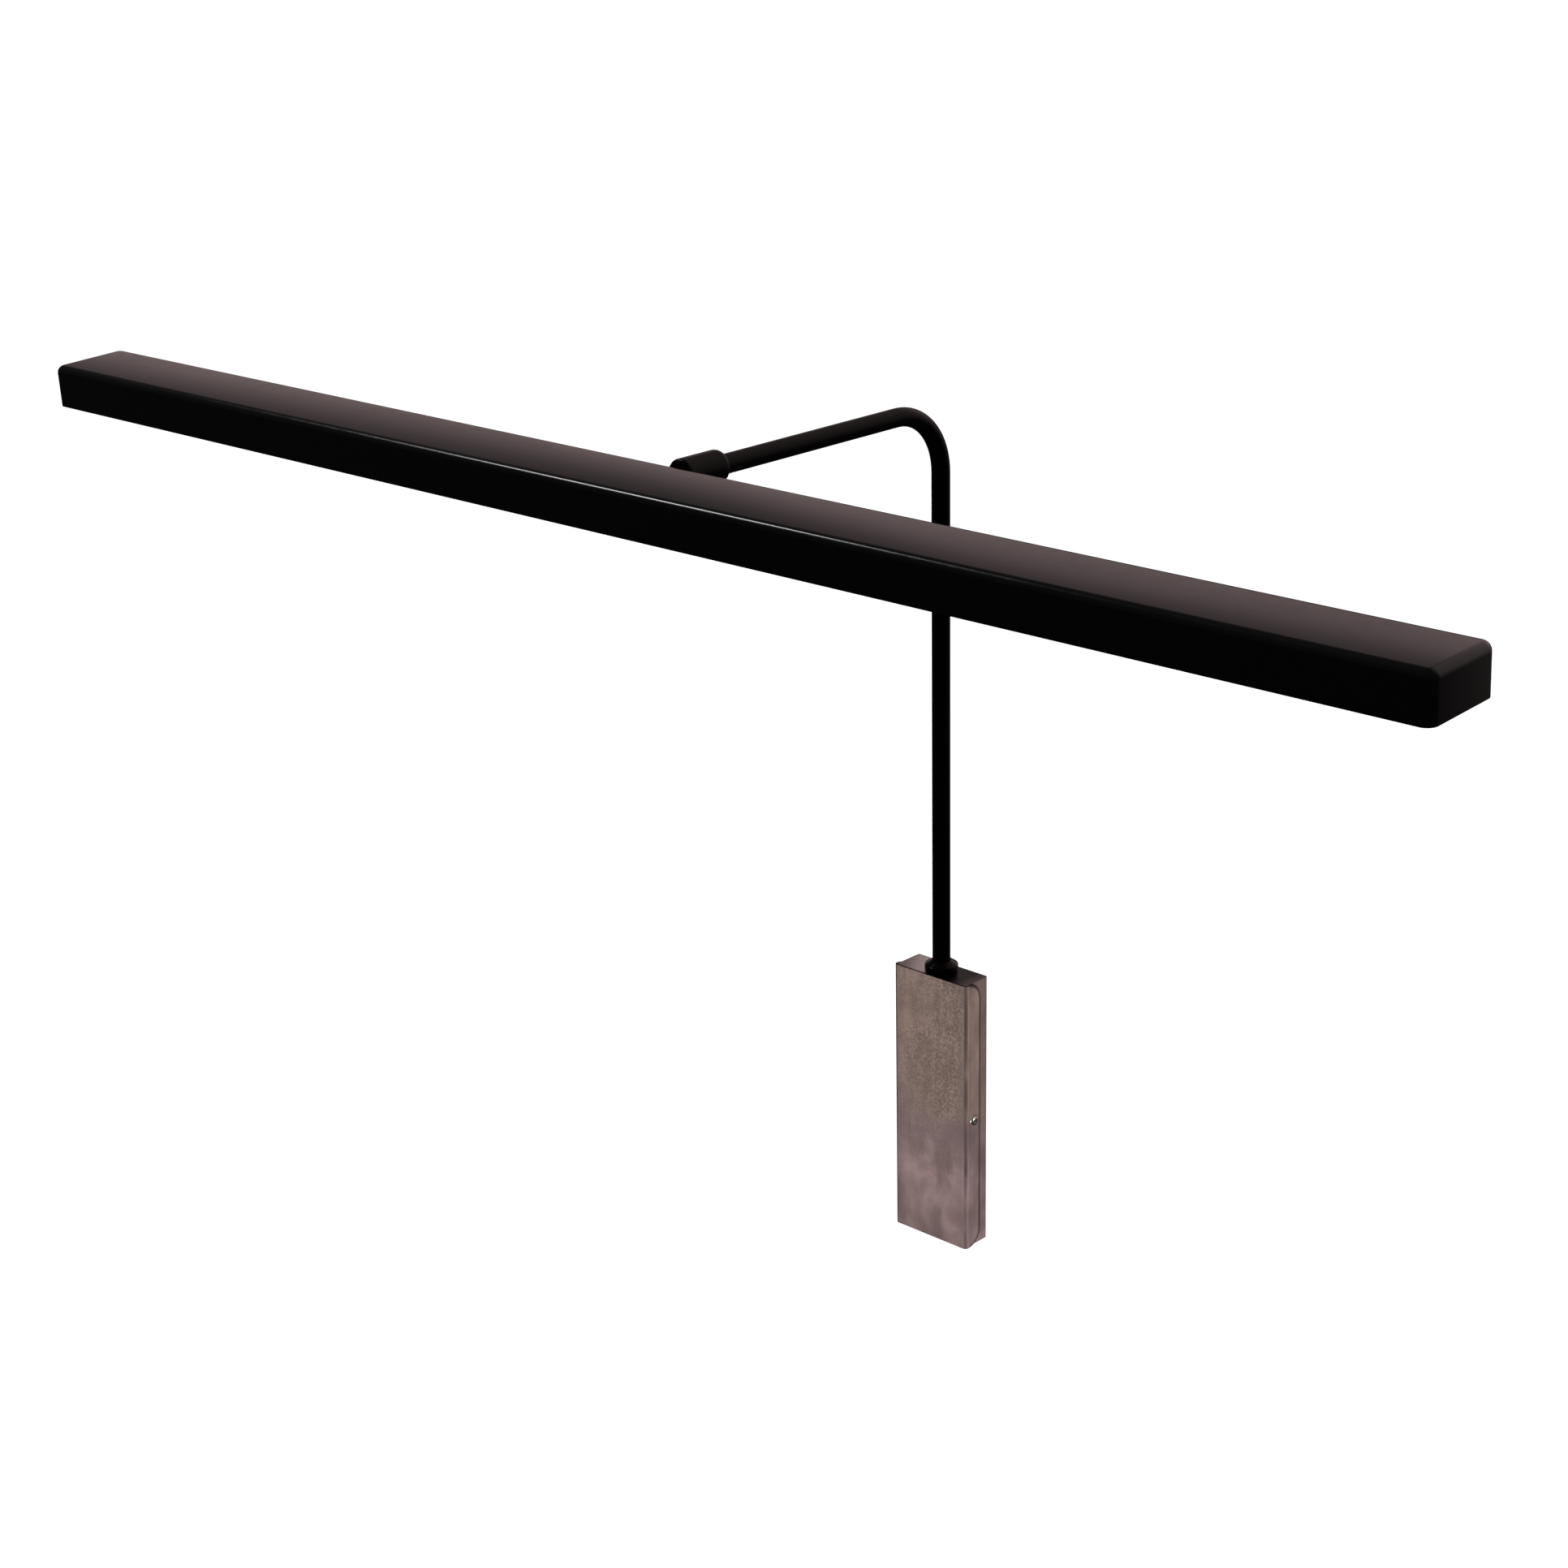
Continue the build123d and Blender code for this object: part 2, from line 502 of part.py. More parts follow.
# terminal block under the tray, beside the leads' hole
TERMINAL_Y = FEED_Y - 2.6   # rear face
FEED_Z = PLATE_UNDER - 3.2
FEED_HALF = 1.1             # half the spacing of the two entries
terminal = block(FEED_X - 5.5, FEED_X + 5.5, TERMINAL_Y - 7.5, TERMINAL_Y,
                 PLATE_UNDER - 6.2, PLATE_UNDER - GAP)
terminal = chamfer(terminal.edges().filter_by(Axis.X).group_by(Axis.Z)[0], 0.8)
for side in SIDES:
    terminal -= rod_y(0.95, TERMINAL_Y - 3.0, TERMINAL_Y + 1, FEED_X + side * FEED_HALF, FEED_Z)
for side in SIDES:
    terminal -= rod_z(1.3, -8, PLATE_UNDER - 4.6, FEED_X + side * 3.2, TERMINAL_Y - 4.6)
save_head("terminal_block", terminal)

# leads: along the tongue's channel, over the tray and down into the terminal block
for side, colour in LEADS:
    x, feed_x = side * LEAD_X, FEED_X + side * FEED_HALF
    channel_z, over_z = 1.87, PLATE_TOP + 1.3
    save_head(f"head_lead_{colour}", wire([
        (x, -7.4, channel_z), (x, SHADE_BACK - 3.6, channel_z), (x, SHADE_BACK - 5.2, over_z),
        (feed_x, FEED_Y, over_z), (feed_x, FEED_Y, FEED_Z), (feed_x, TERMINAL_Y - 2.6, FEED_Z),
    ], 0.8, bend=0.9))

# ------------------------------------------------- inside the wiring box
DRIVER_BOTTOM, DRIVER_TOP = -32, 40
DRIVER_D = 13.6
DRIVER_REAR = BACK_IN - 0.84
DRIVER_Y = DRIVER_REAR - DRIVER_D / 2
DRIVER_PORT_X = 6
CONNECTOR_HALF = 2.8
CONNECTOR_TOP = -58.0
CONNECTOR_X = 14.2                   # the pair for the supply
EARTH_CONNECTOR_X = 21.4
PORT_FRONT_Y, PORT_REAR_Y = -13.4, -8.0
TAIL_R = 1.0
TAIL_END = CONNECTOR_TOP - 3.0

save("driver_pad", block(-15, 15, BACK_IN - 0.82, BACK_IN - GAP, -28, 36))

driver = block(-19, 19, DRIVER_REAR - DRIVER_D, DRIVER_REAR, DRIVER_BOTTOM, DRIVER_TOP)
driver = fillet(driver.edges().filter_by(Axis.Z), 1.6)
driver = fillet(driver.faces().sort_by(Axis.Y)[0].edges(), 0.8)
for z, end in ((DRIVER_TOP, 1), (DRIVER_BOTTOM, -1)):
    for side in SIDES:
        driver -= rod_z(1.25, z - end * 3, z + end, side * DRIVER_PORT_X, DRIVER_Y)
save("led_driver", driver)

# output leads: driver top to the foot of the arm
for side, colour in LEADS:
    port_x, x = side * DRIVER_PORT_X, side * LEAD_X
    save(f"driver_lead_{colour}", wire([
        (port_x, DRIVER_Y, DRIVER_TOP - 2.6), (port_x, DRIVER_Y, DRIVER_TOP + 6),
        (x, ARM_Y, 55.0), (x, ARM_Y, TUBE_FOOT - 2.45),
    ], LEAD_R, bend=4.0))


def connector(x):
    """Wire connector with two ports in its top."""
    body = block(x - CONNECTOR_HALF, x + CONNECTOR_HALF, -16.8, -4.0, -74.0, CONNECTOR_TOP)
    body = fillet(body.edges().filter_by(Axis.X), 1.0)
    for y in (PORT_FRONT_Y, PORT_REAR_Y):
        body -= rod_z(1.3, CONNECTOR_TOP - 4, CONNECTOR_TOP + 1, x, y)
    return body


save("wire_connectors",
     *[connector(x) for x in (-CONNECTOR_X, CONNECTOR_X, EARTH_CONNECTOR_X)])

# supply tails: driver bottom to the connectors
for side, colour in ((-1, "white"), (1, "black")):
    port_x, x = side * DRIVER_PORT_X, side * CONNECTOR_X
    save(f"supply_tail_{colour}", wire([
        (port_x, DRIVER_Y, DRIVER_BOTTOM + 2.6), (port_x, DRIVER_Y, DRIVER_BOTTOM - 3.5),
        (x, PORT_FRONT_Y, -44.0), (x, PORT_FRONT_Y, TAIL_END),
    ], TAIL_R, bend=3.5))

# earth stud on the tray, its ring lug and nut, and the wire to its connector
EARTH_X, EARTH_Z = 20.3, -40.0
CRIMP_Y = BACK_IN - 1.86
save("earth_stud", rod_y(2.0, BACK_IN - 7.5, BACK_IN - 0.01, EARTH_X, EARTH_Z))

lug_front, lug_rear = BACK_IN - 0.96, BACK_IN - 0.06
lug = rod_y(3.9, lug_front, lug_rear, EARTH_X, EARTH_Z)
lug += block(EARTH_X - 1.6, EARTH_X + 1.6, lug_front, lug_rear, EARTH_Z - 9.5, EARTH_Z)
lug -= rod_y(2.1, BACK_IN - 3, BACK_IN + 1, EARTH_X, EARTH_Z)
crimp = rod_z(1.75, EARTH_Z - 13.0, EARTH_Z - 8.0, EARTH_X, CRIMP_Y)
crimp -= rod_z(1.05, EARTH_Z - 20, EARTH_Z, EARTH_X, CRIMP_Y)
save("earth_lug", lug + crimp)

earth_nut = hexagon(7.0, 3.0) - Pos(0, 0, 1.5) * Cylinder(2.04, 8)
earth_nut = Pos(EARTH_X, lug_front - GAP, EARTH_Z) * Rot(90, 0, 0) * earth_nut
front_edges = earth_nut.edges().group_by(Axis.Y)[0].filter_by(GeomType.LINE)
save("earth_nut", chamfer(front_edges, 0.3))

save("earth_wire", wire([
    (EARTH_X, CRIMP_Y, EARTH_Z - 9.5), (EARTH_X, CRIMP_Y, EARTH_Z - 15.0),
    (EARTH_CONNECTOR_X, PORT_REAR_Y, EARTH_Z - 15.0), (EARTH_CONNECTOR_X, PORT_REAR_Y, TAIL_END),
], TAIL_R, bend=1.6))
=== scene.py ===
# A wall lamp: a steel back box with its cover, an arm on a swivel collar, and a shade
# over an LED tray. The CAD pieces keep their shapes; this script gives them materials and
# sets up the studio. Metres, +Z up, +X right, +Y towards the wall, so the front faces -Y.
import json
import math
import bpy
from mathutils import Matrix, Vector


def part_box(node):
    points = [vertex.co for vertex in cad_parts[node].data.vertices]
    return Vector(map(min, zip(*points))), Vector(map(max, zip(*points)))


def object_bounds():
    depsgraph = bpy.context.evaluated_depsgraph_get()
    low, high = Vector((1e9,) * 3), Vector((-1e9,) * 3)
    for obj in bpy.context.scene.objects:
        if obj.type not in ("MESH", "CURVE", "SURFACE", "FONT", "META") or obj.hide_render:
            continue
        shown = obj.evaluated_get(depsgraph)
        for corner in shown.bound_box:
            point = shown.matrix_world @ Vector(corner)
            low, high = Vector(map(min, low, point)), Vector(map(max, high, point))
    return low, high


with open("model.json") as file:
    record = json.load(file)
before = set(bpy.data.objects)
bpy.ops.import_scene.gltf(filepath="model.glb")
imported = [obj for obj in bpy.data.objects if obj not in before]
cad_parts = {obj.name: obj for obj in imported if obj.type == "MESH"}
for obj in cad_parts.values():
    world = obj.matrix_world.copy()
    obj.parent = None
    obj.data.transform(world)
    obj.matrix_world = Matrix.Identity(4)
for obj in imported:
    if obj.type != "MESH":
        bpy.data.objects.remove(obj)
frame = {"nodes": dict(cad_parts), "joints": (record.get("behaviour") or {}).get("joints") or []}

from types import SimpleNamespace

import bpy
from mathutils import Matrix, Vector

CAD_LO, CAD_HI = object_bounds()
nodes = frame["nodes"]
scene = bpy.context.scene

# ------------------------------------------------------------------ places
_, BOX_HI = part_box("back_box")
COVER_LO, COVER_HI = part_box("box_cover")
SHADE_LO, SHADE_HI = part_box("shade")
SWIVEL = next(joint for joint in frame["joints"] if joint["name"] == "arm_swivel")
BEND_X = COVER_HI.x - 0.0007    # middle of the cover's bend
FLANGE_CORNER = 0.010           # corner radius of the cover's side flanges
CROWN_RADIUS = 0.26             # of the slight dome across the shade's top
FLOOR_DROP = 0.35               # floor below the lowest piece
FLOOR_SIZE = 60.0


# ------------------------------------------------------------ node helpers
class Net:
    """Wraps a node tree. Values may be numbers, tuples or the outputs of other nodes."""

    def __init__(self, tree, space):
        self.tree = tree
        self.tree.nodes.clear()
        self.space = space
        self.coord_output = None

    def feed(self, socket, value):
        if isinstance(value, bpy.types.NodeSocket):
            self.tree.links.new(value, socket)
        elif isinstance(value, tuple) and len(value) == 3 and socket.type == "RGBA":
            socket.default_value = (*value, 1.0)
        else:
            socket.default_value = value

    def node(self, kind, inputs=None, **props):
        node = self.tree.nodes.new(kind)
        for key, value in props.items():
            setattr(node, key, value)
        for key, value in (inputs or {}).items():
            self.feed(node.inputs[key], value)
        return node

    def coords(self):
        """The coordinates, from one node that the whole tree shares."""
        if self.coord_output is None:
            self.coord_output = self.node("ShaderNodeTexCoord").outputs[self.space]
        return self.coord_output

    def split(self, vector):
        return tuple(self.node("ShaderNodeSeparateXYZ", {0: vector}).outputs)

    def stretched(self, scale, turn=(0, 0, 0), shift=(0, 0, 0)):
        return self.node("ShaderNodeMapping", {
            "Scale": scale, "Rotation": turn, "Location": shift, "Vector": self.coords(),
        }).outputs[0]

    def noise(self, scale, detail, rough, vector=None, distort=0.0):
        return self.node("ShaderNodeTexNoise", {
            "Scale": scale, "Detail": detail, "Roughness": rough, "Distortion": distort,
            "Vector": self.coords() if vector is None else vector,
        }).outputs["Fac"]

    def ramp(self, factor, stops):
        """Colour ramp from (position, colour) stops."""
        node = self.node("ShaderNodeValToRGB", {0: factor})
        node.color_ramp.interpolation = "EASE"
        elements = node.color_ramp.elements
        while len(elements) < len(stops):
            elements.new(0.5)
        for element, (position, colour) in zip(elements, stops):
            element.position = position
            element.color = (*colour, 1)
        return node.outputs[0]

    def band(self, value, over, to=(0.0, 1.0), curve="SMOOTHSTEP"):
        """Maps value from the range `over` to the range `to`, clamped."""
        return self.node("ShaderNodeMapRange", {
            "From Min": over[0], "From Max": over[1],
            "To Min": to[0], "To Max": to[1], "Value": value,
        }, interpolation_type=curve).outputs[0]

    def math(self, operation, first, second=None, clamp=False):
        inputs = {0: first} if second is None else {0: first, 1: second}
        return self.node("ShaderNodeMath", inputs, operation=operation,
                         use_clamp=clamp).outputs[0]

    def plus(self, first, second):
        return self.math("ADD", first, second)

    def minus(self, first, second):
        return self.math("SUBTRACT", first, second)

    def times(self, first, second):
        return self.math("MULTIPLY", first, second)

    def invert(self, value):
        return self.minus(1.0, value)

    def size(self, value):
        return self.math("ABSOLUTE", value)

    def dot(self, first, second):
        return self.node("ShaderNodeVectorMath", {0: first, 1: second},
                         operation="DOT_PRODUCT").outputs["Value"]

    def mix(self, factor, under, over, blend="MIX"):
        return self.node("ShaderNodeMix", data_type="RGBA", blend_type=blend,
                         inputs={"Factor": factor, "A": under, "B": over}).outputs["Result"]

    def bump(self, height, strength, distance, normal=None):
        inputs = {"Strength": strength, "Distance": distance, "Height": height}
        if normal is not None:
            inputs["Normal"] = normal
        return self.node("ShaderNodeBump", inputs).outputs[0]

    def edges(self, radius, over):
        """1 on convex and concave edges within about radius, 0 on flats."""
        bevel = self.node("ShaderNodeBevel", {"Radius": radius}, samples=6)
        geometry = self.node("ShaderNodeNewGeometry")
        dot = self.dot(bevel.outputs[0], geometry.outputs["Normal"])
        return self.band(self.invert(dot), over=over)


class Surface(Net):
    """A new material's tree, with a Principled shader."""

    def __init__(self, name):
        self.material = bpy.data.materials.new(name)
        self.material.use_nodes = True
        super().__init__(self.material.node_tree, "Object")
        self.shader = self.node("ShaderNodeBsdfPrincipled")
        self.output = self.node("ShaderNodeOutputMaterial",
                                {"Surface": self.shader.outputs["BSDF"]})

    def finish(self, **inputs):
        """Feeds the shader's inputs, named with _ for each space."""
        for key, value in inputs.items():
            self.feed(self.shader.inputs[key.replace("_", " ")], value)
        return self.material


def tone(colour, gain, lift=0.0):
    return tuple(min(1.0, channel * gain + lift) for channel in colour)


# ------------------------------------------------------- families of finish
def painted(name, base, warm, rough, spec, dust, peel=0.000012, peel_scale=1400, crown=None):
    """Baked paint: fine orange peel, a slow shift of tone and a little dust.

    crown is the (middle y, radius) of a slight dome across the width.
    """
    net = Surface(name)
    slow = net.noise(scale=9.0, detail=4.0, rough=0.6)
    fine = net.noise(scale=160.0, detail=5.0, rough=0.65)
    colour = net.mix(net.band(slow, over=(0.35, 0.68)), base, warm)
    lint = net.band(net.noise(scale=2400.0, detail=2.0, rough=0.7), over=(0.66, 0.78))
    colour = net.mix(net.times(lint, dust * 6), colour, tone(base, gain=2.2, lift=0.02))
    roughness = net.plus(net.band(slow, over=(0.3, 0.7), to=(rough - 0.035, rough + 0.03)),
                         net.band(fine, over=(0.35, 0.7), to=(-0.02, 0.03)))
    height = net.noise(scale=peel_scale, detail=2.5, rough=0.5)
    normal = net.bump(height, strength=1.0, distance=peel)
    if crown:
        middle_y, radius = crown
        offset = net.minus(net.split(net.coords())[1], middle_y)
        dome = net.times(net.times(offset, offset), -0.5 / radius)
        normal = net.bump(dome, strength=1.0, distance=1.0, normal=normal)
    return net.finish(Base_Color=colour, Roughness=roughness, Specular_IOR_Level=spec,
                      Normal=normal, Coat_Roughness=0.12)


def plated(name, base, rough, tint, metallic=1.0):
    """Plated metal: tool marks, and tarnish in patches coloured by tint."""
    net = Surface(name)
    marks = net.noise(scale=700, detail=4.0, rough=0.7, vector=net.stretched((1, 1, 1)))
    patch = net.noise(scale=70.0, detail=5.0, rough=0.65, distort=0.4)
    tarnish = tuple(channel * 0.62 * shift for channel, shift in zip(base, tint))
    colour = net.mix(net.times(net.band(patch, over=(0.42, 0.72)), 0.5), base, tarnish)
    colour = net.mix(net.band(marks, over=(0.3, 0.75), to=(0.0, 0.18)),
                     colour, tone(base, gain=1.15))
    roughness = net.plus(net.band(marks, over=(0.3, 0.7), to=(rough - 0.05, rough + 0.06)),
                         net.band(patch, over=(0.4, 0.7), to=(0.0, 0.1)))
    return net.finish(Base_Color=colour, Roughness=roughness, Metallic=metallic,
                      Normal=net.bump(marks, strength=0.5, distance=0.00002))


def plastic(name, base, rough, var=0.08, grain=900, depth=0.00001, sub=0.0, trans=0.0):
    """Moulded plastic: flow marks that vary the tone by var, and grain of a given depth."""
    net = Surface(name)
    flow = net.noise(scale=45.0, detail=4.0, rough=0.6, distort=1.2)
    grit = net.noise(scale=grain, detail=3.0, rough=0.6)
    colour = net.mix(net.band(flow, over=(0.3, 0.7)),
                     tone(base, gain=1 - var), tone(base, gain=1 + var, lift=0.004))
    roughness = net.plus(net.band(flow, over=(0.3, 0.7), to=(rough - 0.05, rough + 0.05)),
                         net.band(grit, over=(0.4, 0.7), to=(-0.03, 0.04)))
    if sub:
        net.finish(Subsurface_Weight=sub, Subsurface_Scale=0.002)
    return net.finish(Base_Color=colour, Roughness=roughness, Transmission_Weight=trans,
                      Normal=net.bump(grit, strength=0.7, distance=depth))


# ------------------------------------------------------------- sheet steel
def bare_sheet(net):
    """Bare galvanised sheet: speckled and brownish above, cloudy and rosy below."""
    x, y, z = net.split(net.coords())
    geometry = net.node("ShaderNodeNewGeometry")
    face = net.split(geometry.outputs["True Normal"])
    top = net.band(face[2], over=(0.85, 0.95))
    wobble = net.noise(scale=28.0, detail=3.0, rough=0.5)
    height = net.plus(z, net.band(wobble, over=(0.2, 0.8), to=(-0.02, 0.02)))
    cloud = net.noise(scale=34.0, detail=4.0, rough=0.55, distort=0.6)
    mottle = net.noise(scale=90.0, detail=4.0, rough=0.6, distort=0.8,
                       vector=net.stretched((1.0, 1.0, 0.6), shift=(3, 1, 5)))
    speck = net.noise(scale=620.0, detail=3.0, rough=0.72)
    grains = net.node("ShaderNodeTexVoronoi",
                      {"Scale": 420.0, "Vector": net.coords()}).outputs["Distance"]

    # the specks come and go in drifts, and are fewer on the sides; clean is 1 between them
    drift = net.noise(scale=26.0, detail=4.0, rough=0.6,
                      vector=net.stretched((1.0, 1.0, 0.8), shift=(7, 2, 1)))
    drift = net.times(net.band(drift, over=(0.36, 0.62), to=(0.35, 1.0)),
                      net.band(net.size(face[0]), over=(0.75, 0.45), to=(0.25, 1.0)))
    clean = net.invert(net.times(net.invert(net.band(speck, over=(0.42, 0.64))), drift))

    # upper half: dark specks, denser to the right, and pale grains
    upper = net.mix(net.band(mottle, over=(0.35, 0.7)),
                    (0.073, 0.0518, 0.0415), (0.108, 0.0785, 0.0645))
    denser = net.band(net.plus(x, net.times(z, 0.25)), over=(-0.03, 0.035), to=(0.5, 0.8))
    upper = net.mix(net.times(net.invert(clean), denser), upper, (0.033, 0.0240, 0.0178))
    upper = net.mix(net.times(net.band(grains, over=(0.30, 0.05)), net.times(drift, 0.16)),
                    upper, (0.148, 0.115, 0.097))

    # lower half: slanting dark clouds, and only a trace of specks
    lower = net.mix(net.band(cloud, over=(0.34, 0.68)),
                    (0.068, 0.0468, 0.0437), (0.118, 0.086, 0.082))
    slant = net.noise(scale=55.0, detail=3.0, rough=0.5,
                      vector=net.stretched((1.3, 1.3, 0.55), turn=(0, 0.6, 0)))
    lower = net.mix(net.band(slant, over=(0.42, 0.66), to=(0.0, 0.75)),
                    lower, (0.050, 0.0335, 0.0312))
    lower = net.mix(net.times(net.invert(clean), 0.12), lower, (0.044, 0.031, 0.027))
    body = net.mix(net.band(height, over=(-0.022, 0.018)), lower, upper)

    # darker belt just under the middle
    belt = net.times(net.band(height, over=(-0.040, -0.018)),
                     net.band(height, over=(0.012, -0.008)))
    body = net.mix(net.times(belt, 0.42), body, (0.039, 0.0275, 0.0262))
    # faint stains that run down the sheet
    runs = net.noise(scale=95.0, detail=3.0, rough=0.6,
                     vector=net.stretched((1.0, 1.0, 0.12)))
    body = net.mix(net.band(runs, over=(0.56, 0.74), to=(0.0, 0.28)),
                   body, (0.142, 0.105, 0.094))
    # the bends and edges are darker: rubbed wear on the outer ones, painted shade in the inner
    # corners
    body = net.mix(net.times(net.edges(radius=0.0016, over=(0.02, 0.3)), 0.5),
                   body, (0.042, 0.031, 0.029))

    rough = net.plus(net.band(cloud, over=(0.3, 0.7), to=(0.42, 0.54)),
                     net.times(net.invert(clean), 0.12))
    # the relief is weaker on the top
    relief = net.bump(net.plus(net.times(speck, 0.7), net.times(mottle, 0.8)),
                      strength=net.minus(0.55, net.times(top, 0.45)), distance=0.00010)
    return SimpleNamespace(x=x, y=y, z=z, geometry=geometry, face=face, top=top,
                           cloud=cloud, body=body, rough=rough, relief=relief)


def cover_steel():
    net = Surface("cover_steel")
    sheet = bare_sheet(net)
    # the sheared front edge is dark, and so are the rear edges
    front = net.band(sheet.y, over=(COVER_LO.y + 0.0020, COVER_LO.y + 0.0012))
    cut = net.math("MAXIMUM", net.times(sheet.top, front),
                   net.band(sheet.face[1], over=(0.6, 0.9)))
    body = net.mix(cut, sheet.body, (0.014, 0.010, 0.009))

    # each bend gets a patchy painted shade along its middle, and the face beside it a soft
    # patchy painted shade
    unsigned = net.node("ShaderNodeVectorMath", {0: sheet.geometry.outputs["Normal"]},
                        operation="ABSOLUTE").outputs[0]
    bend = net.band(net.dot(unsigned, (0.7071, 0.7071, 0.0)), over=(0.80, 0.965))
    bend_shade_patchiness = net.noise(scale=70.0, detail=3.0, rough=0.6,
                     vector=net.stretched((1.0, 1.0, 0.35)))
    bend_shade_patchiness = net.band(bend_shade_patchiness, over=(0.35, 0.65), to=(0.55, 0.92))
    painted_shade = net.noise(scale=75.0, detail=4.0, rough=0.6)
    # soft patchy painted shade on the front face just inside the bend
    beside = net.times(
        net.band(net.size(sheet.x), over=(BEND_X - 0.0085, BEND_X - 0.001)),
        net.band(painted_shade, over=(0.3, 0.65), to=(0.1, 0.5)))
    body = net.mix(beside, body, (0.045, 0.033, 0.031))
    # painted shade along the middle of the bend
    body = net.mix(net.times(bend, bend_shade_patchiness), body, (0.010, 0.0070, 0.0068))

    # a thin painted shadow line follows the outline of the side flanges, for the gap behind
    # them;
    # past_y and past_z are the distances beyond the centres of the flanges' round rear corners
    past_y = net.math("MAXIMUM", net.minus(sheet.y, COVER_HI.y - FLANGE_CORNER), 0.0)
    from_middle = net.size(net.minus(sheet.z, (COVER_LO.z + COVER_HI.z) / 2))
    half_height = (COVER_HI.z - COVER_LO.z) / 2
    past_z = net.math("MAXIMUM", net.minus(from_middle, half_height - FLANGE_CORNER), 0.0)
    reach = net.math("SQRT", net.plus(net.times(past_y, past_y), net.times(past_z, past_z)))
    flange_gap_shadow = net.times(net.band(net.minus(FLANGE_CORNER, reach), over=(0.0017, 0.0007)),
                    net.band(past_y, over=(0.0, 0.0015)))
    # painted gap shadow along the flange outline
    body = net.mix(net.times(flange_gap_shadow, 0.92), body, (0.012, 0.008, 0.008))
    return net.finish(Base_Color=body, Normal=sheet.relief,
                      Roughness=net.plus(sheet.rough, net.times(bend, 0.35)),
                      Metallic=net.minus(0.55, net.times(bend, 0.35)),
                      Specular_IOR_Level=net.minus(0.4, net.times(bend, 0.36)))


def tray_steel():
    net = Surface("tray_steel")
    sheet = bare_sheet(net)
    # the top is smoother, and its colour carries a painted reflection: bright on the left but
    # for its far end, and dark on the right, where it lightens again towards the edge
    top_painted_reflection = net.mix(net.band(sheet.cloud, over=(0.3, 0.7)),
                    (0.80, 0.775, 0.745), (0.95, 0.93, 0.905))
    # painted reflection: darker towards the top's far left end
    top_painted_reflection = net.mix(net.band(net.plus(sheet.x, net.times(sheet.y, 0.6)),
                             over=(-0.034, -0.019)), (0.34, 0.305, 0.292), top_painted_reflection)
    # painted dark reflection on the right of the top
    painted_dark_reflection = net.mix(net.band(sheet.x, over=(0.017, 0.0265)),
                   (0.018, 0.020, 0.017), (0.16, 0.13, 0.122))
    top_painted_reflection = net.mix(net.band(sheet.x, over=(-0.009, 0.004)), top_painted_reflection, painted_dark_reflection)
    body = net.mix(sheet.top, sheet.body, top_painted_reflection)

    # the sides darken upwards, and a painted shadow lies beside the cover's edge, in the step it
    # makes
    occlusion = net.node("ShaderNodeAmbientOcclusion", {"Distance": 0.0022}, samples=8)
    side = net.band(net.size(sheet.face[0]), over=(0.7, 0.9))
    darken = net.band(sheet.z, over=(-0.02, 0.06), to=(0.22, 0.50))
    body = net.mix(net.times(side, darken), body, (0.020, 0.013, 0.014))
    # painted shadow in the step beside the cover's edge
    painted_shade = net.times(net.invert(occlusion.outputs["AO"]), side)
    body = net.mix(net.math("MULTIPLY", painted_shade, 1.6, clamp=True), body, (0.012, 0.008, 0.008))
    return net.finish(Base_Color=body, Normal=sheet.relief, Specular_IOR_Level=0.4,
                      Roughness=net.minus(sheet.rough, net.times(sheet.top, 0.24)),
                      Metallic=net.plus(0.55, net.times(sheet.top, 0.35)))


# -------------------------------------------------------- single materials
def bronze_dark():
    """Near-black bronze with turning rings and rubbed edges."""
    net = Surface("bronze_dark")
    rings = net.noise(scale=500.0, detail=3.0, rough=0.6,
                      vector=net.stretched((0.15, 0.15, 6.0)))
    patch = net.noise(scale=210.0, detail=4.0, rough=0.6)
    colour = net.mix(net.band(patch, over=(0.35, 0.7)),
                     (0.003, 0.0018, 0.0014), (0.010, 0.0052, 0.0035))
    colour = net.mix(net.times(net.edges(radius=0.0004, over=(0.03, 0.3)), 0.6),
                     colour, (0.05, 0.026, 0.015))
    return net.finish(Base_Color=colour, Metallic=0.5, Specular_IOR_Level=0.2,
                      Roughness=net.band(patch, over=(0.3, 0.7), to=(0.12, 0.19)),
                      Coat_Weight=0.06, Coat_Roughness=0.06,
                      Normal=net.bump(rings, strength=0.35, distance=0.00001))


def brass():
    """Turned brass, browned in patches."""
    net = Surface("turned_brass")
    rings = net.noise(scale=900.0, detail=3.0, rough=0.6,
                      vector=net.stretched((1.0, 0.12, 1.0)))
    patch = net.noise(scale=160.0, detail=5.0, rough=0.65, distort=0.5)
    colour = net.mix(net.band(patch, over=(0.38, 0.7)),
                     (0.62, 0.42, 0.16), (0.34, 0.20, 0.085))
    return net.finish(Base_Color=colour, Metallic=1.0,
                      Roughness=net.band(patch, over=(0.3, 0.7), to=(0.24, 0.42)),
                      Normal=net.bump(rings, strength=0.4, distance=0.00002))


def frosted():
    """Frosted sheet: light passes, but shapes behind it only show as soft glows."""
    net = Surface("frosted_acrylic")
    grit = net.noise(scale=1800.0, detail=3.0, rough=0.6)
    slow = net.noise(scale=14.0, detail=3.0, rough=0.5)
    colour = net.mix(net.band(slow, over=(0.3, 0.7)), (0.90, 0.91, 0.90), (0.95, 0.95, 0.94))
    return net.finish(Base_Color=colour, Transmission_Weight=0.75, IOR=1.49,
                      Roughness=net.band(grit, over=(0.35, 0.7), to=(0.45, 0.6)),
                      Normal=net.bump(grit, strength=0.8, distance=0.00002))


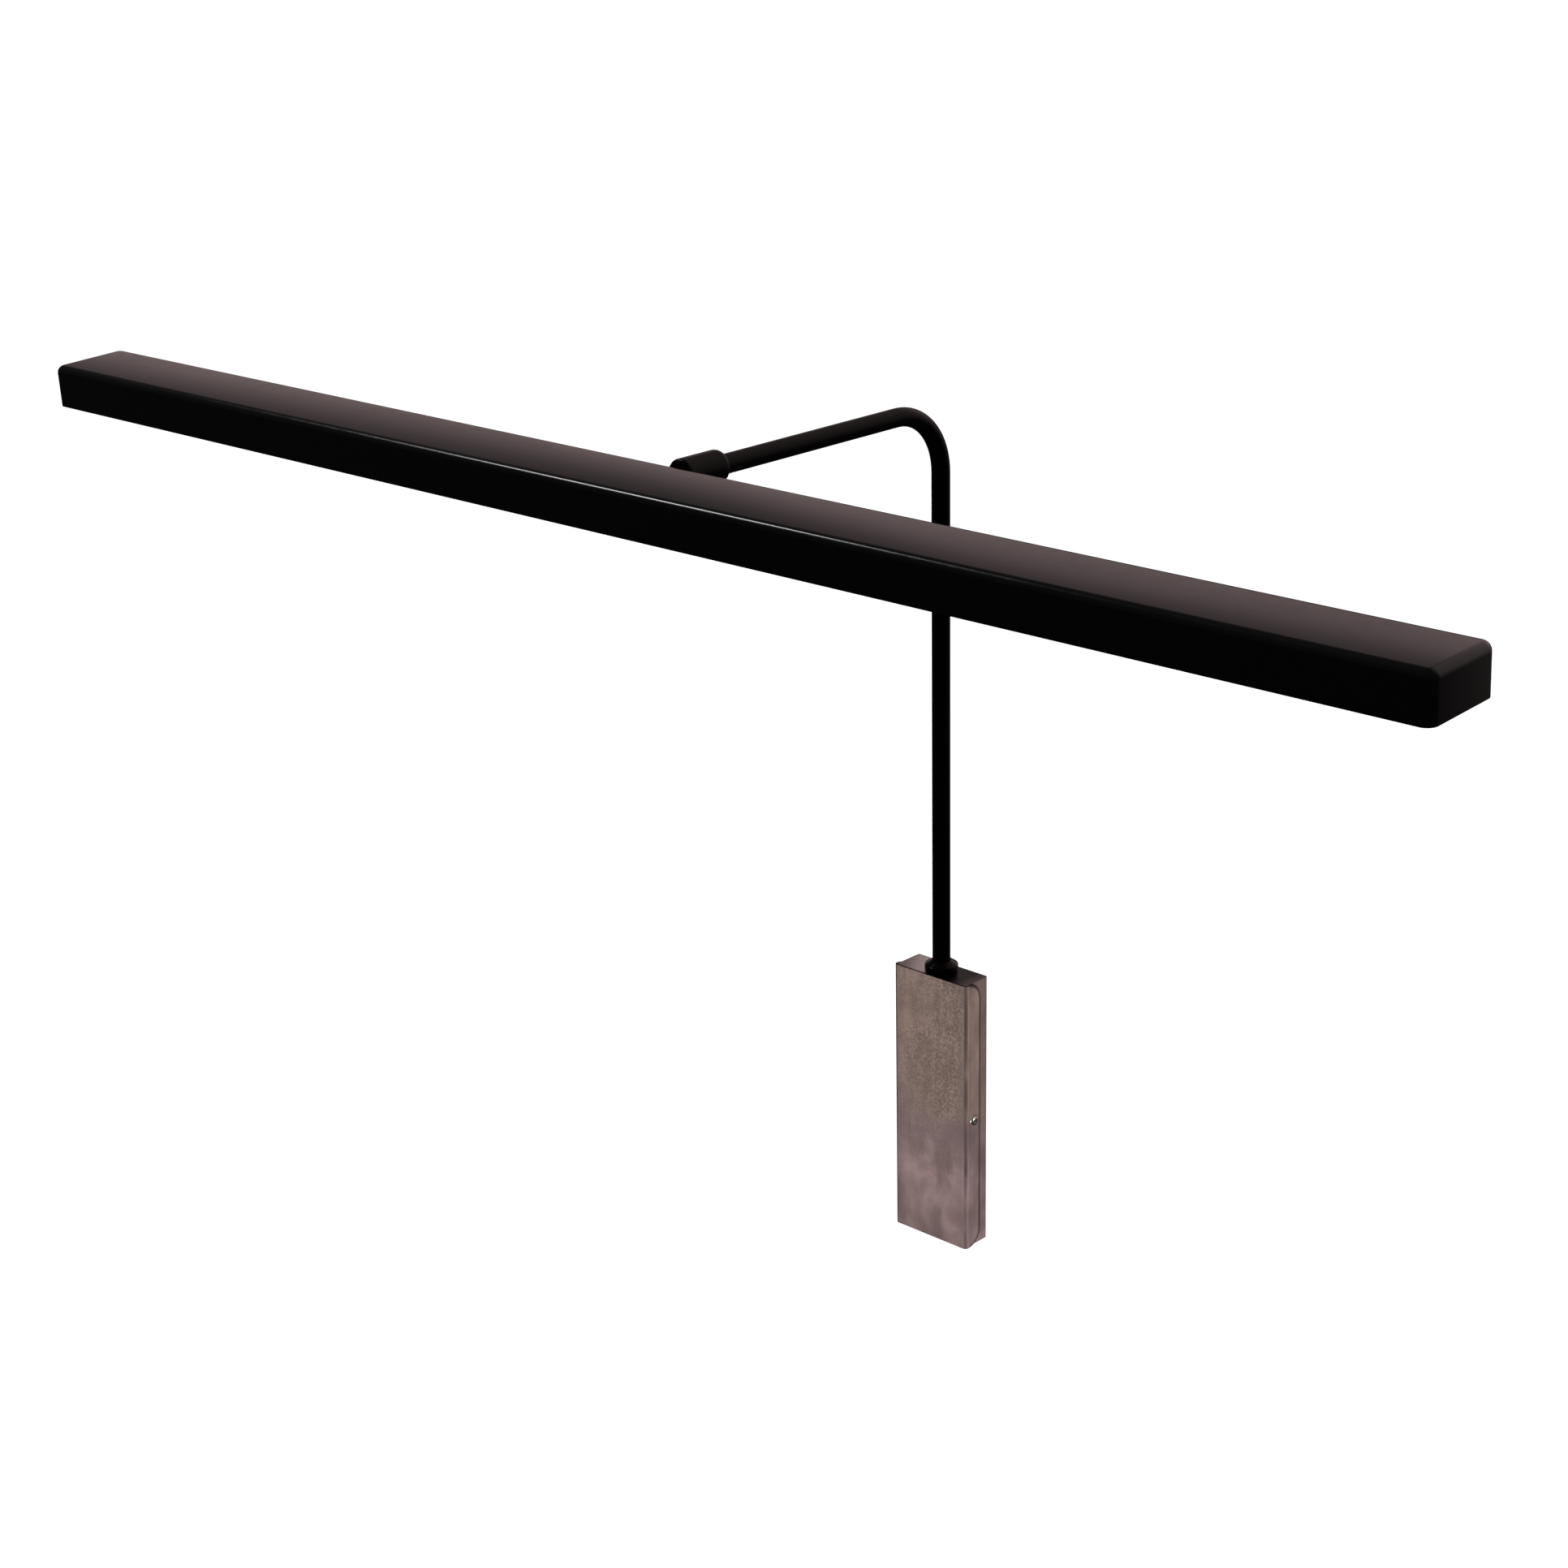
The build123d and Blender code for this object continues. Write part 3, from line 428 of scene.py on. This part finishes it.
def led():
    """Grainy yellow phosphor."""
    net = Surface("led_phosphor")
    grit = net.noise(scale=2600.0, detail=2.0, rough=0.6)
    colour = net.mix(net.band(grit, over=(0.35, 0.7)), (0.92, 0.70, 0.16), (0.98, 0.84, 0.34))
    return net.finish(Base_Color=colour, Roughness=0.4,
                      Normal=net.bump(grit, strength=0.6, distance=0.00002))


def circuit_board():
    """White board with faint raised tracks."""
    net = Surface("board_white")
    wave = net.node("ShaderNodeTexWave", {
        "Scale": 95.0, "Distortion": 0.4, "Vector": net.stretched((0.15, 1.0, 1.0)),
    }, wave_type="BANDS", bands_direction="Y")
    tracks = net.band(wave.outputs["Fac"], over=(0.55, 0.7))
    slow = net.noise(scale=30.0, detail=3.0, rough=0.5)
    white = net.mix(net.band(slow, over=(0.3, 0.7)), (0.86, 0.87, 0.85), (0.91, 0.91, 0.89))
    return net.finish(Base_Color=net.mix(net.times(tracks, 0.12), white, (0.70, 0.72, 0.70)),
                      Roughness=net.band(slow, over=(0.3, 0.7), to=(0.3, 0.4)),
                      Normal=net.bump(tracks, strength=0.4, distance=0.00003))


# each material, with the pieces that wear it
FINISHES = [
    (tray_steel(), "back_box"),
    (cover_steel(), "box_cover"),
    (painted("shade_paint", (0.0016, 0.0012, 0.0011), (0.0030, 0.0020, 0.0017), rough=0.17,
             spec=0.42, dust=0.001, peel=0.0000008, peel_scale=900,
             crown=((SHADE_LO.y + SHADE_HI.y) / 2, CROWN_RADIUS)), "shade"),
    (painted("arm_paint", (0.0014, 0.0010, 0.0009), (0.0026, 0.0017, 0.0014), rough=0.33,
             spec=0.14, dust=0.002, peel=0.000004, peel_scale=1500),
     "arm_tube knuckle_barrel"),
    (bronze_dark(), "collar_hub collar_cap"),
    (brass(), "collar_locknut tube_stop_ring swivel_fork swivel_tongue"),
    (plated("zinc_plate", (0.74, 0.74, 0.73), rough=0.24, tint=(0.95, 0.97, 1.0)),
     "cover_screws swivel_stop_pin earth_lug earth_nut tray_nuts board_screws "
     "end_plate_screws"),
    (plated("zinc_dull", (0.55, 0.55, 0.54), rough=0.38, tint=(1.0, 0.95, 0.85)),
     "clinch_nuts collar_lock_washer earth_stud tray_studs"),
    (plated("black_oxide", (0.035, 0.034, 0.036), rough=0.34, tint=(1.0, 0.9, 0.85),
            metallic=0.8), "barrel_set_screw pivot_screw pivot_nut tongue_screws"),
    (plastic("nylon", (0.78, 0.76, 0.70), rough=0.42, sub=0.1),
     "swivel_washer tube_end_bushing friction_washers"),
    (plastic("rubber_black", (0.022, 0.022, 0.022), rough=0.62, var=0.2, grain=1500,
             depth=0.00003), "cable_bushing"),
    (plastic("pad_grey", (0.34, 0.36, 0.38), rough=0.72, var=0.12, grain=1200,
             depth=0.00004), "driver_pad thermal_pads"),
    (plastic("case_white", (0.80, 0.80, 0.77), rough=0.36, var=0.03, grain=1600,
             depth=0.00002), "led_driver"),
    (plastic("wire_black", (0.018, 0.018, 0.018), rough=0.38, var=0.25),
     "driver_lead_black supply_tail_black arm_lead_black head_lead_black"),
    (plastic("wire_red", (0.42, 0.025, 0.018), rough=0.36, var=0.15),
     "driver_lead_red arm_lead_red head_lead_red"),
    (plastic("wire_white", (0.80, 0.79, 0.75), rough=0.38, var=0.05), "supply_tail_white"),
    (plastic("wire_green", (0.03, 0.20, 0.06), rough=0.38, var=0.15), "earth_wire"),
    (plastic("connector_amber", (0.72, 0.30, 0.05), rough=0.28, var=0.1, trans=0.35),
     "wire_connectors"),
    (plastic("block_white", (0.84, 0.84, 0.80), rough=0.34, var=0.04), "terminal_block"),
    (painted("tray_white", (0.80, 0.80, 0.78), (0.84, 0.84, 0.81), rough=0.42, spec=0.5,
             dust=0.0), "reflector_tray tray_end_plates"),
    (circuit_board(), "led_board_left led_board_right"),
    (led(), "led_emitters"),
    (frosted(), "diffuser_lens"),
]
material_of = {piece: material for material, pieces in FINISHES for piece in pieces.split()}
for name, piece in nodes.items():
    piece.data.materials.clear()
    piece.data.materials.append(material_of[name])


# ------------------------------------------------------------------ studio
def studio_floor():
    """A glowing pale floor that only the camera and shadows see."""
    bpy.ops.mesh.primitive_grid_add(x_subdivisions=8, y_subdivisions=8, size=FLOOR_SIZE,
                                    location=(0, 0, CAD_LO.z - FLOOR_DROP))
    floor = bpy.context.object
    floor.name = "studio_floor"
    net = Surface("floor_pale")
    slow = net.noise(scale=3.0, detail=3.0, rough=0.5)
    net.finish(Base_Color=net.mix(slow, (0.90, 0.90, 0.90), (0.94, 0.94, 0.94)),
               Roughness=0.9, Specular_IOR_Level=0.1)
    glow = net.node("ShaderNodeEmission", {"Color": (1.0, 1.0, 1.0), "Strength": 0.98})
    both = net.node("ShaderNodeAddShader", {0: net.shader.outputs[0], 1: glow.outputs[0]})
    net.feed(net.output.inputs["Surface"], both.outputs[0])
    floor.data.materials.append(net.material)
    floor.visible_glossy = False
    floor.visible_diffuse = False
    floor.visible_transmission = False


def studio_world():
    """White to the camera; a dim room with a few bright patches to everything else."""
    world = bpy.data.worlds.new("studio")
    scene.world = world
    world.use_nodes = True
    net = Net(world.node_tree, "Generated")
    x, y, z = net.split(net.coords())

    # the dim room, by height
    room = net.ramp(net.band(z, over=(-1.0, 1.0), curve="LINEAR"), [
        (0.0, (0.016, 0.0155, 0.015)), (0.46, (0.030, 0.028, 0.027)),
        (0.60, (0.060, 0.057, 0.056)), (1.0, (0.080, 0.079, 0.078)),
    ])
    # a rosy sweep low down on the wall side, standing higher towards the right and
    # fading out at the far right; its stops are (height, brightness)
    lowered = net.minus(z, net.band(x, over=(-0.71, -0.58), to=(0.0, 0.15)))
    sweep = net.ramp(net.band(lowered, over=(-1.0, 1.0), curve="LINEAR"), [
        (height, (level, level * 0.72, level * 0.735)) for height, level in (
            (0.47, 0.0), (0.53, 0.42), (0.60, 0.40), (0.64, 0.26),
            (0.665, 0.158), (0.69, 0.080), (0.73, 0.02), (0.82, 0.0))
    ])
    reach = net.times(net.band(y, over=(0.05, 0.55)), net.band(x, over=(0.42, 0.02)))
    light = net.mix(reach, room, sweep, blend="ADD")
    # a weak patch high up behind on the right, which softens the shade's right end,
    # and a faint one below it for the shade's end face: direction, extent, colour
    for direction, extent, colour in (
        ((0.30, 0.82, 0.48), (0.62, 1.0), (0.46, 0.37, 0.36)),
        ((0.478, 0.825, -0.302), (0.72, 0.98), (0.022, 0.015, 0.018)),
    ):
        patch = net.band(net.dot(net.coords(), direction), over=extent)
        light = net.mix(patch, light, colour, blend="ADD")

    surround = net.node("ShaderNodeBackground", {"Color": light, "Strength": 1.0})
    backdrop = net.node("ShaderNodeBackground", {"Color": (1, 1, 1), "Strength": 1.02})
    is_camera = net.node("ShaderNodeLightPath").outputs["Is Camera Ray"]
    both = net.node("ShaderNodeMixShader",
                    {0: is_camera, 1: surround.outputs[0], 2: backdrop.outputs[0]})
    net.node("ShaderNodeOutputWorld", {0: both.outputs[0]})


def softbox(name, place, aim, size, power, color, group=None, pieces=()):
    """Rectangular light; with a group it is a narrow beam that lights only those pieces."""
    data = bpy.data.lights.new(name, "AREA")
    data.shape = "RECTANGLE"
    data.size, data.size_y = size
    data.energy = power
    data.color = color
    lamp = bpy.data.objects.new(name, data)
    scene.collection.objects.link(lamp)
    lamp.location = place
    lamp.rotation_euler = (Vector(aim) - Vector(place)).to_track_quat("-Z", "Y").to_euler()
    if group:
        data.spread = math.radians(24)
        lit = bpy.data.collections.new(group)
        for piece in pieces:
            lit.objects.link(nodes[piece])
        lamp.light_linking.receiver_collection = lit


studio_floor()
studio_world()
softbox("key_left", place=(-1.28, -0.55, 1.75), aim=(0.0, -0.2, 0.3), size=(0.20, 0.42),
        power=5.0, color=(1.0, 0.97, 1.0))
softbox("box_light", place=(-0.75, -1.35, -0.25), aim=(0.0, 0.0, -0.03), size=(0.6, 0.35),
        power=0.49, color=(1.0, 0.965, 0.96), group="lit_by_box_lights",
        pieces=("back_box", "box_cover", "cover_screws"))
softbox("box_side", place=(1.5, -0.9, -0.2), aim=(0.02, -0.01, -0.01), size=(0.5, 0.5),
        power=5.6, color=(1.0, 0.96, 0.985), group="lit_by_box_side",
        pieces=("back_box", "box_cover"))
softbox("screw_light", place=(1.4, 0.1, 0.44), aim=(0.026, -0.01, 0.0), size=(0.3, 0.3),
        power=0.45, color=(1.0, 0.98, 0.97), group="lit_by_screw_light",
        pieces=("cover_screws",))

# ------------------------------------------------------------------ camera
AZIMUTH, ELEVATION, ROLL = 0.7558, 0.3439, 0.0197       # radians; azimuth from -Y to +X
LENS_MM, SENSOR_MM = 70.283851, 36.0
# the swivel's place on top of the box, seen from the camera: right, up, back
SWIVEL_SEEN = Vector((0.09005418, -0.106488756, -1.750903884))


def place_camera():
    back = Vector((math.sin(AZIMUTH) * math.cos(ELEVATION),
                   -math.cos(AZIMUTH) * math.cos(ELEVATION), math.sin(ELEVATION)))
    right = Vector((0, 0, 1)).cross(back).normalized()
    up = back.cross(right)
    cosine, sine = math.cos(ROLL), math.sin(ROLL)
    axes = Matrix((right * cosine - up * sine, right * sine + up * cosine, back)).transposed()
    place = Vector((0.0, SWIVEL["pos_m"][1], BOX_HI.z)) - axes @ SWIVEL_SEEN
    data = bpy.data.cameras.new("camera")
    data.sensor_width = SENSOR_MM
    data.lens = LENS_MM
    data.clip_end = 200.0
    camera = bpy.data.objects.new("camera", data)
    scene.collection.objects.link(camera)
    camera.matrix_world = Matrix.Translation(place) @ axes.to_4x4()
    scene.camera = camera


place_camera()
scene.view_settings.view_transform = "Standard"
scene.view_settings.look = "None"
